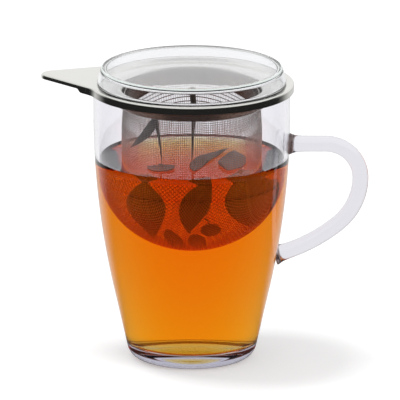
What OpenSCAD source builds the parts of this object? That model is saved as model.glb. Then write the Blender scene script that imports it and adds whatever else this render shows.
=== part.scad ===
// Lidded glass tea mug with a drop-in infuser. Millimetres, +Z up.
// The origin is the centre of the mug's base, on the table. The handle points along +X.

/* [Mug] */
// Height of the glass mug, from the table to the flat of its lip
mug_height = 121.5; // [112:0.5:132]
// Outer radius of the straight upper wall
mug_radius = 42.5; // [40:0.1:48]
// Thickness of the blown wall
wall = 2; // [1.5:0.1:2.6]
// Height at which the straight upper wall starts to draw in
straight_from = 108.5; // [96:0.5:109]
// Height at which the wall has drawn in to its full taper
taper_from = 31; // [24:0.5:40]
// Lean of the tapered lower wall away from upright, in degrees
taper_angle = 12.75; // [9:0.25:14]
// Height of the inner floor's edge above the table
base_thickness = 6.8; // [5:0.1:8]
// Rise of the inner floor from its edge to its middle, over the hollow under the base
floor_rise = 3.8; // [1:0.1:4.4]
// Outer rounding between the wall and the base
base_corner = 6.4; // [4:0.1:7]
// Inner rounding between the wall and the floor
floor_corner = 2.5; // [1.5:0.1:6]
// Radius of the hollow under the base
punt_radius = 21; // [16:0.1:21.2]
// Depth of the hollow under the base
punt_depth = 3.4; // [1:0.1:4]
// Radius of the fire-polished bead that thickens the lip
lip_bead = 1.7; // [1.3:0.05:1.8]
// Height that is ground off the top of the bead, which leaves a flat ring
lip_flat = 0.25; // [0.1:0.05:0.4]

/* [Handle] */
// Diameter of the solid glass rod
rod_diameter = 7; // [5.5:0.1:8.5]
// Height of the rod's upper end above the table
handle_height = 94.7; // [88:0.1:100]
// Straight length of the rod from the wall to its bend
handle_run = 15.2; // [10:0.1:22]
// Radius of the bend that turns the rod down, at the middle of the rod
bend_radius = 15.1; // [11:0.1:18]
// Radius of the wider bend below it, at the middle of the rod
grip_radius = 26.5; // [20:0.5:32]
// Angle through which the wider bend turns, in degrees
grip_turn = 50; // [42:1:56]
// Radius of the long curve back to the wall, at the middle of the rod
return_radius = 70; // [60:0.5:80]
// Extra radius of the rod where it is fused to the wall
weld_flare = 1.2; // [0.5:0.1:2]
// Length of each flare
weld_length = 4; // [3:0.1:6]

/* [Infuser rim] */
// Thickness of the drawn steel sheet
sheet = 0.6; // [0.4:0.05:0.8]
// Gap between the lip and the rim's skirt
lip_clearance = 1; // [0.4:0.05:1.3]
// Depth of the skirt outside the lip, below the rim's underside
skirt_depth = 2.7; // [1.5:0.1:5]
// Rounding on the rim's outer top edge
rim_edge = 0.9; // [0.7:0.05:1.2]
// Width of the raised ring that rests on the lip
ring_width = 5.6; // [4.8:0.1:6.5]
// Depth of the recess inside the raised ring
recess_depth = 1.6; // [1:0.1:2.5]
// Horizontal length of the slope down into the recess
recess_slope = 1.4; // [0.8:0.1:2.2]
// Outer radius of the neck that carries the basket
neck_radius = 30.2; // [27:0.1:32]
// Height of the neck and its rounding, below the recess
neck_height = 7.4; // [5:0.1:12]
// Rounding at the mouth of the neck, on the sheet's upper side
neck_corner = 2; // [1.2:0.1:3]

/* [Grip tab] */
// Distance of the tab's tip from the mug's axis
tab_reach = 67.2; // [60:0.1:75]
// Radius of the tab's rounded tip
tab_tip = 6; // [4.5:0.1:8]
// Distance of the tab's straight edges, carried on, from the mug's axis
tab_spread = 39.3; // [34:0.1:40.5]
// Direction of the tab, in degrees from the handle
tab_direction = 165; // [150:1:180]
// Radius of the hollow curves that join the tab to the rim
tab_blend = 20; // [12:0.5:30]
// Depth of the tab's turned-down edge, below its underside
tab_edge = 1.2; // [0.8:0.1:2]

/* [Infuser basket] */
// Thickness of the woven wire cloth
cloth = 0.4; // [0.3:0.05:0.6]
// Depth of the basket, from the top of the rim to its lowest point
basket_depth = 70.6; // [60:0.1:85]
// How far the basket's side swells out past its held top
basket_swell = 0.85; // [0.5:0.05:1.2]
// How much smaller the round bottom's radius is than the swollen side's
basket_tuck = 0.8; // [0.5:0.05:1.2]
// Length of cloth held between the neck and the clamp ring
clamp_height = 6; // [4:0.1:6.5]
// Thickness of the clamp ring
clamp_thickness = 0.6; // [0.4:0.05:1]
// Gap left between pieces that are spot-welded together
weld_gap = 0.05; // [0.02:0.01:0.1]

/* [Lid] */
// Width of the rim left bare around the lid's foot
lid_ledge = 3.3; // [2:0.1:3.6]
// How far the lid's foot stands out past its top
lid_flare = 1.6; // [0.8:0.1:2.4]
// Height of the lid
lid_height = 6.8; // [6:0.1:10]
// Thickness of the lid's top
lid_top = 1.8; // [1.5:0.1:3]
// Thickness of the lid's wall
lid_wall = 2; // [1.6:0.1:2.2]
// Inner rounding between the lid's top and wall
lid_hollow = 1.5; // [1:0.1:3]
// Rounding on the lid's upper edge
lid_edge = 1; // [0.4:0.1:1.2]
// Rounding on the outside of the lid's foot
lid_foot = 0.9; // [0.5:0.1:1]

/* [Hidden] */

// Sides of a round outline, of the handle's rod, and of arcs far larger than the mug
$fn = 180;
rod_fn = 96;
large_arc_fn = 1440;
// How far a shape runs past what it cuts or crosses
past = 1;
// Where a side would only touch a rounding, it stands back this little, so that the two cross
back = 0.003;

// Mug: the wall bends on one arc, from upright to its full taper.
bend_arc = (straight_from - taper_from) / sin(taper_angle);
taper_radius = mug_radius - bend_arc * (1 - cos(taper_angle));

// Handle: where two of its curves meet, their centres lie on one line with the meeting point.
bend_centre = [mug_radius + handle_run, handle_height - bend_radius];
grip_centre = bend_centre - [grip_radius - bend_radius, 0];
return_centre = grip_centre - (return_radius - grip_radius) * [cos(grip_turn), -sin(grip_turn)];
// The long curve crosses the wall's own bend. The two centres and the crossing make a triangle.
wall_way = [mug_radius - bend_arc, straight_from] - return_centre;
wall_cos = (pow(norm(wall_way), 2) + pow(return_radius, 2) - pow(bend_arc, 2))
    / (2 * norm(wall_way) * return_radius);
foot_turn = 360 - (atan2(wall_way[1], wall_way[0]) + 360) % 360 - acos(wall_cos);
foot = return_centre + return_radius * [cos(foot_turn), -sin(foot_turn)];
// The curve and the flares run on inside the wall, where the mug's outside cuts them off.
return_turn = ceil(foot_turn - grip_turn) + 8;
weld_sink = 2.2;
// A flare ends this far under the rod's surface.
weld_tuck = 0.1;

// Rim: the skirt hangs outside the lip, and the ring rests on it.
skirt_inner = mug_radius + lip_clearance;
rim_radius = skirt_inner + sheet;
rim_top = mug_height + sheet;
ring_inner = rim_radius - ring_width;
recess_top = rim_top - recess_depth;
recess_radius = ring_inner - recess_slope;
neck_bottom = recess_top - sheet - neck_height;

// Basket: its side swells on one arc, which meets the held top and touches the round bottom.
cloth_radius = neck_radius - sheet - weld_gap;
cloth_end = neck_bottom + clamp_height;
swell_radius = cloth_radius + basket_swell;
bowl_radius = swell_radius - basket_tuck;
bowl_height = rim_top - basket_depth + bowl_radius;
// The side is widest this far below the neck, where both conditions hold at once.
side_length = neck_bottom - bowl_height;
swell_share = 1 - basket_tuck / basket_swell;
swell_reach = pow(side_length, 2) + basket_tuck * (2 * bowl_radius + basket_tuck - basket_swell);
swell_drop = swell_reach / (side_length + sqrt(pow(side_length, 2) - swell_share * swell_reach));
swell_height = neck_bottom - swell_drop;
side_arc = (pow(swell_drop, 2) + pow(basket_swell, 2)) / (2 * basket_swell);
bowl_lean = atan((swell_height - bowl_height) / (side_arc - swell_radius));

// Lid: its foot stands on the rim's raised ring. Its side touches the foot's rounding and its edge's.
lid_foot_radius = rim_radius - lid_ledge;
lid_low = [lid_foot_radius - lid_foot, rim_top + lid_foot];
lid_high = [lid_foot_radius - lid_flare - lid_edge, rim_top + lid_height - lid_edge];
lid_side = lid_high - lid_low;
lid_lean = atan2(lid_side[1], lid_side[0]) - acos((lid_foot - lid_edge) / norm(lid_side));
lid_normal = [cos(lid_lean), sin(lid_lean)];

// A box from corner a to corner b, in the plane of a section.
module patch(a, b) {
    translate(a) square(b - a);
}

// A full round of the outline, at a point of the section.
module disc(at, r) {
    translate(at) circle(r);
}

// Radius of the ball that rises by "rise" over a circle of radius "reach".
function dome(reach, rise) = (pow(reach, 2) + pow(rise, 2)) / (2 * rise);

// Half of the mug's filled outline, drawn in by "inset" from its outer face.
// The floor is at "floor_z", and "corner" rounds the wall into the floor.
module mug_half(inset, floor_z, corner) {
    side = mug_radius - inset;
    normal = [cos(taper_angle), -sin(taper_angle)];
    // The tapered face lies "inset" square to the outer one.
    taper_end = [taper_radius, taper_from] - inset * normal;
    corner_z = floor_z + corner;
    corner_r = taper_end[0] - (taper_end[1] - corner_z) * tan(taper_angle) - corner / cos(taper_angle);
    patch([0, straight_from], [side, mug_height]);
    intersection() {
        disc([mug_radius - bend_arc, straight_from], bend_arc - inset, $fn = large_arc_fn);
        patch([0, taper_end[1] - 3 * past], [side, straight_from]);
    }
    polygon([
        [0, floor_z],
        [corner_r, floor_z],
        [corner_r, corner_z] + (corner - back) * normal,
        taper_end - back * normal,
        [0, taper_end[1]]
    ]);
    disc([corner_r, corner_z], corner);
}

// The mug's outside, filled, which the handle is cut against.
module mug_envelope() {
    rotate_extrude() mug_half(0, 0, base_corner);
}

module mug_body() {
    hollow = dome(punt_radius, punt_depth);
    floor_dome = dome(punt_radius, floor_rise);
    bead_z = mug_height + lip_flat - lip_bead;
    color([0.86, 0.89, 0.91, 0.35]) rotate_extrude() difference() {
        union() {
            difference() {
                mug_half(0, 0, base_corner);
                difference() {
                    mug_half(wall, base_thickness, floor_corner);
                    disc([0, base_thickness + floor_rise - floor_dome], floor_dome, $fn = large_arc_fn);
                }
                // The sharp top of the wall makes room for the bead.
                patch([0, bead_z], [mug_radius + past, mug_height + past]);
            }
            intersection() {
                disc([mug_radius - lip_bead, bead_z], lip_bead);
                patch([0, 0], [mug_radius, mug_height]);
            }
        }
        disc([0, punt_depth - hollow], hollow, $fn = large_arc_fn);
    }
}

// Moves its children to "at" in a coarse step and a fine one, so that no digits are lost.
module place(at) {
    coarse = [for (v = at) round(v * 1000) / 1000];
    translate(coarse) translate(at - coarse) children();
}

// The rod, turned clockwise about a centre in the handle's plane, from angle "from" through "turn".
module rod_arc(centre, radius, from, turn) {
    place([centre[0], 0, centre[1]]) rotate([90, 0, 0])
        rotate_extrude(angle = turn, start = from - turn, $fn = 2 * $fn)
            translate([radius, 0]) circle(d = rod_diameter, $fn = rod_fn);
}

// The flare where the rod is fused to the wall. It starts inside the wall and narrows along +Z.
module weld() {
    end_radius = rod_diameter / 2 - weld_tuck;
    translate([0, 0, -weld_sink])
        cylinder(h = weld_sink + weld_length, r1 = rod_diameter / 2 + weld_flare, r2 = end_radius);
}

module mug_handle() {
    color([0.86, 0.89, 0.91, 0.35]) difference() {
        union() {
            translate([mug_radius - wall, 0, handle_height]) rotate([0, 90, 0])
                cylinder(h = wall + handle_run, d = rod_diameter, $fn = rod_fn);
            rod_arc(bend_centre, bend_radius, 90, 90);
            rod_arc(grip_centre, grip_radius, 0, grip_turn);
            rod_arc(return_centre, return_radius, -grip_turn, return_turn);
            translate([mug_radius, 0, handle_height]) rotate([0, 90, 0]) weld();
            translate([foot[0], 0, foot[1]]) rotate([0, foot_turn, 0]) weld();
        }
        mug_envelope();
    }
}

// One side of the tab, on +X: half of its outline, drawn in by "inset".
module tab_side(inset) {
    tip = tab_tip - inset;
    tip_at = tab_reach - tab_tip;
    spread = tab_spread - inset;
    rim = rim_radius - inset;
    blend = tab_blend + inset;
    // The straight edge touches the tip's circle and passes "spread" from the axis.
    edge_angle = acos((spread - tip) / tip_at);
    out = [cos(edge_angle), sin(edge_angle)];
    along = [-out[1], out[0]];
    blend_angle = edge_angle - acos((spread + blend) / (rim + blend));
    blend_at = (rim + blend) * [cos(blend_angle), sin(blend_angle)];
    edge_end = spread * out + (blend_at * along) * along;
    difference() {
        polygon([
            [0, 0],
            [tip_at, 0],
            [tip_at, 0] + tip * out,
            edge_end,
            blend_at,
            rim * [cos(blend_angle), sin(blend_angle)]
        ]);
        translate(blend_at) circle(blend);
    }
}

// The tab's outline, without the rim's own circle.
module tab_plan(inset) {
    rotate(tab_direction) {
        tab_side(inset);
        mirror([0, 1]) tab_side(inset);
        translate([tab_reach - tab_tip, 0]) circle(tab_tip - inset);
    }
}

// Section of the drawn sheet, from the skirt over the lip and down into the neck.
module rim_half() {
    ring_under = rim_top - sheet;
    recess_under = recess_top - sheet;
    neck_inner = neck_radius - sheet;
    difference() {
        union() {
            patch([ring_inner, ring_under], [rim_radius - rim_edge, rim_top]);
            patch([skirt_inner, ring_under - skirt_depth], [rim_radius, rim_top - rim_edge]);
            intersection() {
                disc([rim_radius - rim_edge, rim_top - rim_edge], rim_edge);
                patch([rim_radius - rim_edge, rim_top - rim_edge], [rim_radius, rim_top]);
            }
            patch([rim_radius - rim_edge, ring_under], [skirt_inner, rim_top - rim_edge]);
        }
        patch([0, 0], [skirt_inner, ring_under]);
    }
    polygon([
        [recess_radius, recess_under],
        [ring_inner, ring_under],
        [ring_inner, rim_top],
        [recess_radius, recess_top]
    ]);
    patch([neck_inner + neck_corner, recess_under], [recess_radius, recess_top]);
    difference() {
        patch([neck_inner, neck_bottom], [neck_inner + neck_corner, recess_top]);
        patch([neck_radius, 0], [neck_radius + neck_corner, recess_top - neck_corner]);
        disc([neck_inner + neck_corner, recess_top - neck_corner], neck_corner - sheet);
        difference() {
            patch([0, recess_top - neck_corner], [neck_inner + neck_corner, rim_top]);
            disc([neck_inner + neck_corner, recess_top - neck_corner], neck_corner);
        }
    }
}

module infuser_rim() {
    ring_under = rim_top - sheet;
    color([0.72, 0.73, 0.74]) {
        rotate_extrude() rim_half();
        difference() {
            translate([0, 0, ring_under - tab_edge]) linear_extrude(sheet + tab_edge) tab_plan(0);
            translate([0, 0, ring_under - tab_edge - past]) linear_extrude(tab_edge + past) tab_plan(sheet);
            cylinder(h = rim_top + past, r = rim_radius - rim_edge);
        }
    }
}

module infuser_clamp_ring() {
    outer = cloth_radius - cloth - weld_gap;
    color([0.66, 0.67, 0.68]) translate([0, 0, neck_bottom]) difference() {
        cylinder(h = clamp_height, r = outer);
        translate([0, 0, -past]) cylinder(h = clamp_height + 2 * past, r = outer - clamp_thickness);
    }
}

// Half of the basket's filled outline up to "top", drawn in by "inset".
module basket_half(inset, top) {
    bowl = bowl_radius - inset;
    // The held top and the side run past their crossing, each inside the other.
    patch([0, neck_bottom - past], [cloth_radius - inset, top]);
    intersection() {
        disc([swell_radius - side_arc, swell_height], side_arc - inset, $fn = large_arc_fn);
        patch([0, bowl_height - bowl * sin(bowl_lean)], [swell_radius, neck_bottom + past]);
    }
    disc([0, bowl_height], bowl + back);
}

module infuser_basket() {
    color([0.6, 0.58, 0.57]) rotate_extrude() intersection() {
        difference() {
            basket_half(0, cloth_end);
            basket_half(cloth, cloth_end + past);
        }
        patch([0, 0], [mug_radius, mug_height]);
    }
}

// Half of the lid's section: a shallow dish, upside down on the rim's ring.
module lid_half() {
    top = rim_top + lid_height;
    under = top - lid_top;
    // The inner side lies "lid_wall" square to the outer one, this far along their normal.
    inner_reach = lid_low * lid_normal + lid_foot - lid_wall;
    hollow_z = under - lid_hollow;
    hollow_r = (inner_reach - lid_hollow - hollow_z * lid_normal[1]) / lid_normal[0];
    open_z = rim_top - past;
    difference() {
        union() {
            disc(lid_high, lid_edge);
            disc(lid_low, lid_foot);
            polygon([
                [0, rim_top],
                [lid_low[0], rim_top],
                lid_low + (lid_foot - back) * lid_normal,
                lid_high + (lid_edge - back) * lid_normal,
                [lid_high[0], top],
                [0, top]
            ]);
        }
        polygon([
            [0, open_z],
            [(inner_reach - back - open_z * lid_normal[1]) / lid_normal[0], open_z],
            [hollow_r, hollow_z] + (lid_hollow - back) * lid_normal,
            [hollow_r, hollow_z],
            [hollow_r, under],
            [0, under]
        ]);
        disc([hollow_r, hollow_z], lid_hollow);
    }
}

module lid() {
    color([0.84, 0.93, 0.9, 0.35]) rotate_extrude() lid_half();
}

mug_body();
mug_handle();
infuser_rim();
infuser_clamp_ring();
infuser_basket();
lid();
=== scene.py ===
"""A lidded glass tea mug with a drop-in infuser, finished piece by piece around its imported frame.

Metres, +Z up. The mug's axis is the Z axis, its handle points along +X, and the camera looks along +Y.
"""
import math

import bpy
import numpy as np
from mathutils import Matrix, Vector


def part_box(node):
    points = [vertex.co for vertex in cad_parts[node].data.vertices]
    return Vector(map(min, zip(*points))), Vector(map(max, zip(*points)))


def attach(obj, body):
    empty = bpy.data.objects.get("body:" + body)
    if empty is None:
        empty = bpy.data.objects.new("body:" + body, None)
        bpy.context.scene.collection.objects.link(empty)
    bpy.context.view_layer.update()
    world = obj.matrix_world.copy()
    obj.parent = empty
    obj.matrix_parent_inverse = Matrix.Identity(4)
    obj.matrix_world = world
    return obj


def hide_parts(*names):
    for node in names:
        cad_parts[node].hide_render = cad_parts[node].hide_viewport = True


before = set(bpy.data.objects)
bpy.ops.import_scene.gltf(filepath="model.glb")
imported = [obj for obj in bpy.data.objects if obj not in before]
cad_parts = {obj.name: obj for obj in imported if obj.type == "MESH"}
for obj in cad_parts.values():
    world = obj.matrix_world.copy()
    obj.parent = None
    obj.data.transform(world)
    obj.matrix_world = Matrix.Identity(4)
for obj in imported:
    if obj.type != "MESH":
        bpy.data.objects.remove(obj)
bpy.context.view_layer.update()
mm = 0.001

# ---------------------------------------------------------------------------------------------------
# The camera: a long lens on the front of the mug, level with the table and looking a little down.
look_down = math.radians(15.1)
camera_distance = 4.0
view_width = 172.9 * mm
aim_point = np.array([3.53, 0, 69.5]) * mm

lens = bpy.data.cameras.new("camera")
lens.sensor_width = 36
lens.lens = lens.sensor_width * camera_distance / view_width
camera = bpy.data.objects.new("camera", lens)
camera.location = aim_point + camera_distance * np.array([0, -math.cos(look_down), math.sin(look_down)])
camera.rotation_euler = (math.pi / 2 - look_down, 0, 0)
bpy.context.scene.collection.objects.link(camera)
bpy.context.scene.camera = camera


# ---------------------------------------------------------------------------------------------------
# Mug body: clear borosilicate glass, blown in a mould. The upper wall is straight and the lower one
# tapers to a thick base with a shallow hollow under it. The lip is fire-polished to a round bead.
mug_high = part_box("mug_body")[1]
mug_height = mug_high.z
mug_radius = mug_high.x
wall = 2 * mm
straight_from = 108.5 * mm
taper_from = 31 * mm
taper = math.radians(12.75)
base_thickness = 6.8 * mm
floor_rise = 3.8 * mm
base_corner = 6.4 * mm
floor_corner = 2.5 * mm
punt_radius = 21 * mm
punt_depth = 3.4 * mm
lip_bead = 1.7 * mm
lip_flat = 0.25 * mm
bend_radius = (straight_from - taper_from) / math.sin(taper)
taper_radius = mug_radius - bend_radius * (1 - math.cos(taper))
glass_tone = (0.985, 0.98, 1, 1)
glass_smoke = (0.0, 0.0, 0.23)
glass_depth = 13.0
around = 256
flat_points = 3


def arc(centre, radius, start, end, steps):
    """Points (r, z) = centre + radius * (cos a, sin a), for a in equal steps from start to end."""
    a = np.linspace(start, end, steps)
    return np.stack([centre[0] + radius * np.cos(a), centre[1] + radius * np.sin(a)], axis=1)


def line(start, end, steps):
    """Points in equal steps between two points of a section, without the ends."""
    t = np.linspace(0, 1, steps + 2)[1:-1, None]
    return np.array(start) + t * (np.array(end) - np.array(start))


def skin(name, grid, capped=False):
    """A closed smooth mesh over a grid of points, shape (rows, columns, 3).

    Columns always join round. Rows join round too, unless capped: then the middle of the first row and
    of the last row closes each end with a fan. Faces look along (next column) x (next row).
    """
    rows, columns = grid.shape[:2]
    index = np.arange(rows * columns).reshape(rows, columns)
    below = index if not capped else index[:-1]
    above = np.roll(index, -1, axis=0) if not capped else index[1:]
    quads = np.stack([below, np.roll(below, -1, 1), np.roll(above, -1, 1), above], axis=-1).reshape(-1, 4)
    points = grid.reshape(-1, 3)
    faces = quads.tolist()
    if capped:
        points = np.concatenate([points, grid[:1].mean(axis=1), grid[-1:].mean(axis=1)])
        first, last = index[0], index[-1]
        foot, head = rows * columns, rows * columns + 1
        faces += [[foot, b, a] for a, b in zip(first.tolist(), np.roll(first, -1).tolist())]
        faces += [[head, a, b] for a, b in zip(last.tolist(), np.roll(last, -1).tolist())]
    mesh = bpy.data.meshes.new(name)
    mesh.from_pydata(points, [], faces)
    mesh.shade_smooth()
    made = bpy.data.objects.new(name, mesh)
    bpy.context.scene.collection.objects.link(made)
    return made


def revolve(name, profile, columns=around):
    """Turns a section's points (r, z) about the Z axis: x = r cos a, y = r sin a.

    A section that starts near the axis is capped at both of its ends."""
    a = np.linspace(0, 2 * math.pi, columns, endpoint=False)
    r, z = profile[:, 0, None], profile[:, 1, None]
    grid = np.stack([r * np.cos(a), r * np.sin(a), np.broadcast_to(z, (len(profile), columns))], axis=-1)
    return skin(name, grid, capped=profile[0, 0] < 1 * mm)


def wall_section(inset, floor_z, corner):
    """The mug's wall drawn in by inset: the floor's corner, the taper, and the long bend up to the straight.

    Each stretch starts where the one before it ends, on the same tangent."""
    taper_r = taper_radius - inset * math.cos(taper)
    taper_z = taper_from + inset * math.sin(taper)
    corner_z = floor_z + corner
    corner_r = taper_r - (taper_z - corner_z) * math.tan(taper) - corner / math.cos(taper)
    corner_arc = arc((corner_r, corner_z), corner, -math.pi / 2, -taper, 14)
    bend = arc((mug_radius - bend_radius, straight_from), bend_radius - inset, -taper, 0, 26)
    return np.concatenate([corner_arc, line(corner_arc[-1], bend[0], 10), bend])


def add(tree, kind, inputs=None, **settings):
    """Adds a shader node. An input given a socket is linked to it, and any other input is set."""
    made = tree.nodes.new(kind)
    for key, value in settings.items():
        setattr(made, key, value)
    for key, value in (inputs or {}).items():
        if isinstance(value, bpy.types.NodeSocket):
            tree.links.new(value, made.inputs[key])
        else:
            made.inputs[key].default_value = value
    return made


def new_group(name, sockets_in, sockets_out):
    """An empty shader group. sockets_in is {name: default}, sockets_out is {name: socket type}."""
    group = bpy.data.node_groups.new(name, "ShaderNodeTree")
    for key, value in sockets_in.items():
        socket = group.interface.new_socket(key, in_out="INPUT", socket_type="NodeSocketFloat")
        socket.default_value = value
    for key, kind in sockets_out.items():
        group.interface.new_socket(key, in_out="OUTPUT", socket_type=kind)
    return group, group.nodes.new("NodeGroupInput").outputs, group.nodes.new("NodeGroupOutput").inputs


def clear_material(name, ior, smoke, depth, lets_light=1.0):
    """Glass or liquid that bends light and tints it by how far it goes. Its shadow lets through lets_light.

    Where the mesh's attribute bare is 0, glass and tea touch, and neither mirrors anything."""
    made = bpy.data.materials.new(name)
    made.use_nodes = True
    tree = made.node_tree
    surface = tree.nodes["Principled BSDF"]
    surface.inputs["Base Color"].default_value = glass_tone
    surface.inputs["Roughness"].default_value = 0
    surface.inputs["IOR"].default_value = ior
    surface.inputs["Transmission Weight"].default_value = 1
    bare = add(tree, "ShaderNodeAttribute", attribute_name="bare")
    tree.links.new(bare.outputs["Color"], surface.inputs["Specular Tint"])
    light_path = add(tree, "ShaderNodeLightPath")
    through = add(tree, "ShaderNodeBsdfTransparent", {"Color": (lets_light, lets_light, lets_light, 1)})
    mixed = add(tree, "ShaderNodeMixShader", {
        0: light_path.outputs["Is Shadow Ray"], 1: surface.outputs["BSDF"], 2: through.outputs["BSDF"]})
    tint = add(tree, "ShaderNodeVolumeAbsorption", {"Color": (*smoke, 1), "Density": depth})
    output = tree.nodes["Material Output"]
    tree.links.new(mixed.outputs["Shader"], output.inputs["Surface"])
    tree.links.new(tint.outputs["Volume"], output.inputs["Volume"])
    return made


def mark_bare(piece, touching):
    """Writes the attribute bare: white on a piece's points, black on those where it touches glass or tea."""
    values = np.ones((len(piece.data.vertices), 4))
    values[:len(touching), :3] = 1 - touching[:, None]
    bare = piece.data.color_attributes.new("bare", "FLOAT_COLOR", "POINT")
    bare.data.foreach_set("color", values.ravel())


def dome(rise, top_z, steps=24):
    """A ball's section from a hair off the middle, at top_z, out to the hollow's radius, where it lies rise lower."""
    ball = (punt_radius ** 2 + rise ** 2) / (2 * rise)
    off_axis, reach = 0.0005, math.asin(punt_radius / ball)
    return arc((0, top_z - ball), ball, math.pi / 2 - off_axis, math.pi / 2 - reach, steps)


bead_z = mug_height + lip_flat - lip_bead
bead_top = math.asin((lip_bead - lip_flat) / lip_bead)
bead_end = math.radians(252)
outer_wall = wall_section(0, 0, base_corner)
inner_wall = wall_section(wall, base_thickness, floor_corner)
punt = dome(punt_depth, punt_depth)
floor_section = dome(floor_rise, base_thickness + floor_rise)
lip = np.concatenate([
    arc((mug_radius - lip_bead, bead_z), lip_bead, 0, bead_top, 10),
    arc((mug_radius - lip_bead, bead_z), lip_bead, math.pi - bead_top, bead_end, 16)])
mug_section = np.concatenate([
    punt, line(punt[-1], outer_wall[0], flat_points), outer_wall,
    line(outer_wall[-1], lip[0], 8), lip,
    line(lip[-1], inner_wall[-1], 8), inner_wall[::-1],
    line(inner_wall[0], floor_section[-1], flat_points), floor_section[::-1]])
mug_body = revolve("mug_body_glass", mug_section)
tea_level = 88 * mm
inner_points = len(inner_wall) + flat_points + len(floor_section)
inside = np.arange(len(mug_section)) >= len(mug_section) - inner_points
under_tea = inside & (mug_section[:, 1] < tea_level)
mark_bare(mug_body, np.repeat(under_tea, around).astype(float))
mug_glass = clear_material("mug_glass", 1.47, glass_smoke, glass_depth)
mug_body.data.materials.append(mug_glass)
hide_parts("mug_body")
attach(mug_body, "mug")

# ---------------------------------------------------------------------------------------------------
# Handle: a solid glass rod, bent hot into a loop and fused to the wall at both ends, where it spreads
# into a small flare. Its ends lie inside the wall's own thickness.
rod_radius = 3.5 * mm
handle_height = 94.7 * mm
handle_run = 15.2 * mm
loop_radius = 15.1 * mm
grip_radius = 26.5 * mm
grip_turn = math.radians(50)
return_radius = 70 * mm
flare = 1.2 * mm
flare_length = 1.625 * mm
rod_sink = 0.8 * mm
rod_sides = 48
weld_reflection_reach = 1.1 * mm
handle_depth = 26.0

loop_centre = np.array([mug_radius + handle_run, handle_height - loop_radius])
grip_centre = loop_centre - np.array([grip_radius - loop_radius, 0])
return_centre = grip_centre - (return_radius - grip_radius) * np.array([math.cos(grip_turn), -math.sin(grip_turn)])
wall_way = np.array([mug_radius - bend_radius, straight_from]) - return_centre
wall_far = np.linalg.norm(wall_way)
wall_angle = math.acos((wall_far ** 2 + return_radius ** 2 - (bend_radius - rod_sink) ** 2)
                       / (2 * wall_far * return_radius))
rod_end = math.atan2(wall_way[1], wall_way[0]) % (2 * math.pi) + wall_angle - 2 * math.pi
rod_line = np.concatenate([
    np.stack([np.linspace(mug_radius - rod_sink, loop_centre[0], 30), np.full(30, handle_height)], axis=1),
    arc(loop_centre, loop_radius, math.pi / 2, 0, 56)[1:],
    arc(grip_centre, grip_radius, 0, -grip_turn, 48)[1:],
    arc(return_centre, return_radius, -grip_turn, rod_end, 56)[1:]])


def rod(name, path, radius, columns=rod_sides, y=0.0):
    """A round rod along a path (x, z) in a plane of equal y, capped at both ends.

    Each ring is point + radius * (cos a * side - sin a * Y), where side is square to the path."""
    along = np.gradient(path, axis=0)
    along /= np.linalg.norm(along, axis=1, keepdims=True)
    side = np.stack([-along[:, 1], along[:, 0]], axis=1)
    a = np.linspace(0, 2 * math.pi, columns, endpoint=False)
    flat = path[:, None, :] + (radius[:, None] * np.cos(a))[:, :, None] * side[:, None, :]
    across = y - radius[:, None] * np.sin(a)
    return skin(name, np.stack([flat[:, :, 0], across, flat[:, :, 1]], axis=-1), capped=True)


rod_steps = np.linalg.norm(np.diff(rod_line, axis=0), axis=1)
from_start = np.concatenate([[0], np.cumsum(rod_steps)])
from_wall = np.minimum(from_start, from_start[-1] - from_start) - rod_sink
rod_radii = rod_radius + flare * np.exp(-np.maximum(from_wall, 0) / flare_length)
mug_handle = rod("mug_handle_rod", rod_line, rod_radii)
mark_bare(mug_handle, np.zeros(0))

# Near each weld the glass is painted brown in uneven patches that are gone a little way up the rod: a painted
# reflection of the tea in the flared glass.
near_wall = np.exp(-np.maximum(from_wall, 0) / weld_reflection_reach)
weld = mug_handle.data.attributes.new("weld", "FLOAT", "POINT")
weld.data.foreach_set("value", np.append(np.repeat(near_wall, rod_sides), near_wall[[0, -1]]))
handle_glass = clear_material("handle_glass", 1.47, glass_smoke, handle_depth)
weld_tree = handle_glass.node_tree
weld_place = add(weld_tree, "ShaderNodeTexCoord")
weld_cloud = add(weld_tree, "ShaderNodeTexNoise", {
    "Vector": weld_place.outputs["Object"], "Scale": 420.0, "Detail": 2.0})
weld_near = add(weld_tree, "ShaderNodeAttribute", attribute_name="weld")
weld_reflection_amount = add(weld_tree, "ShaderNodeMath", {
    0: weld_near.outputs["Fac"], 1: weld_cloud.outputs["Fac"]}, operation="MULTIPLY")
weld_reflection_mask = add(weld_tree, "ShaderNodeMapRange", {
    "Value": weld_reflection_amount.outputs["Value"], "From Min": 0.15, "From Max": 0.42}, interpolation_type="SMOOTHSTEP")
weld_reflection_colour = add(weld_tree, "ShaderNodeMix", {
    "Factor": weld_reflection_mask.outputs["Result"], "A": glass_tone, "B": (0.12, 0.07, 0.06, 1)}, data_type="RGBA")
weld_tree.links.new(weld_reflection_colour.outputs["Result"], weld_tree.nodes["Principled BSDF"].inputs["Base Color"])
mug_handle.data.materials.append(handle_glass)
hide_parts("mug_handle")
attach(mug_handle, "mug")

# ---------------------------------------------------------------------------------------------------
# Tea: fills the mug to a little under the handle's upper end and climbs the wall in a small meniscus.
# It is contents, not a part of the mug. Its sides lie just inside the glass, so that no air shows.
meniscus_height = 1.6 * mm
meniscus_width = 1.8 * mm
tea_overlap = 0.15 * mm
tea_smoke = (0.993, 0.82, 0.0)
tea_depth = 130.0
pole = 0.2 * mm

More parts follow.
